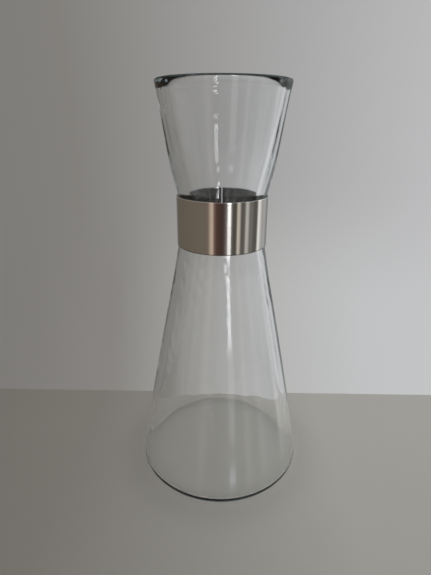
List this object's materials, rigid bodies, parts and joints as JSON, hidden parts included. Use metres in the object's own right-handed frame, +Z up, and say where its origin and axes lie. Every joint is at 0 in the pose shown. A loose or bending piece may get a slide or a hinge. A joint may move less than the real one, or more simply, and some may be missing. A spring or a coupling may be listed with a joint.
{
  "type": "glass carafe",
  "caption": "Hourglass carafe of blown clear glass with an open flared mouth, a flat foot and a split brushed-steel grip band that turns round its waist.",
  "frame": {"origin": "on the vertical axis of the carafe, in the plane of the foot ring that it stands on", "axes": "+Z up along the axis towards the mouth, +Y towards the back where the slit of the band is, +X to the right seen from the front"},
  "size_m": [0.1168, 0.1168, 0.26],
  "materials": {
    "clear_glass": "clear, fire-polished, very faint cool grey tint",
    "brushed_steel": "satin, brushed round its circumference, polished edges"
  },
  "bodies": {
    "glass": {"glass_body": "clear_glass"},
    "band": {"neck_band": "brushed_steel"}
  },
  "joints": [
    {"name": "band_turn", "type": "hinge", "parent": "glass", "child": "band", "pos_m": [0, 0, 0.1805], "axis": [0, 0, 1], "continuous": true}
  ]
}
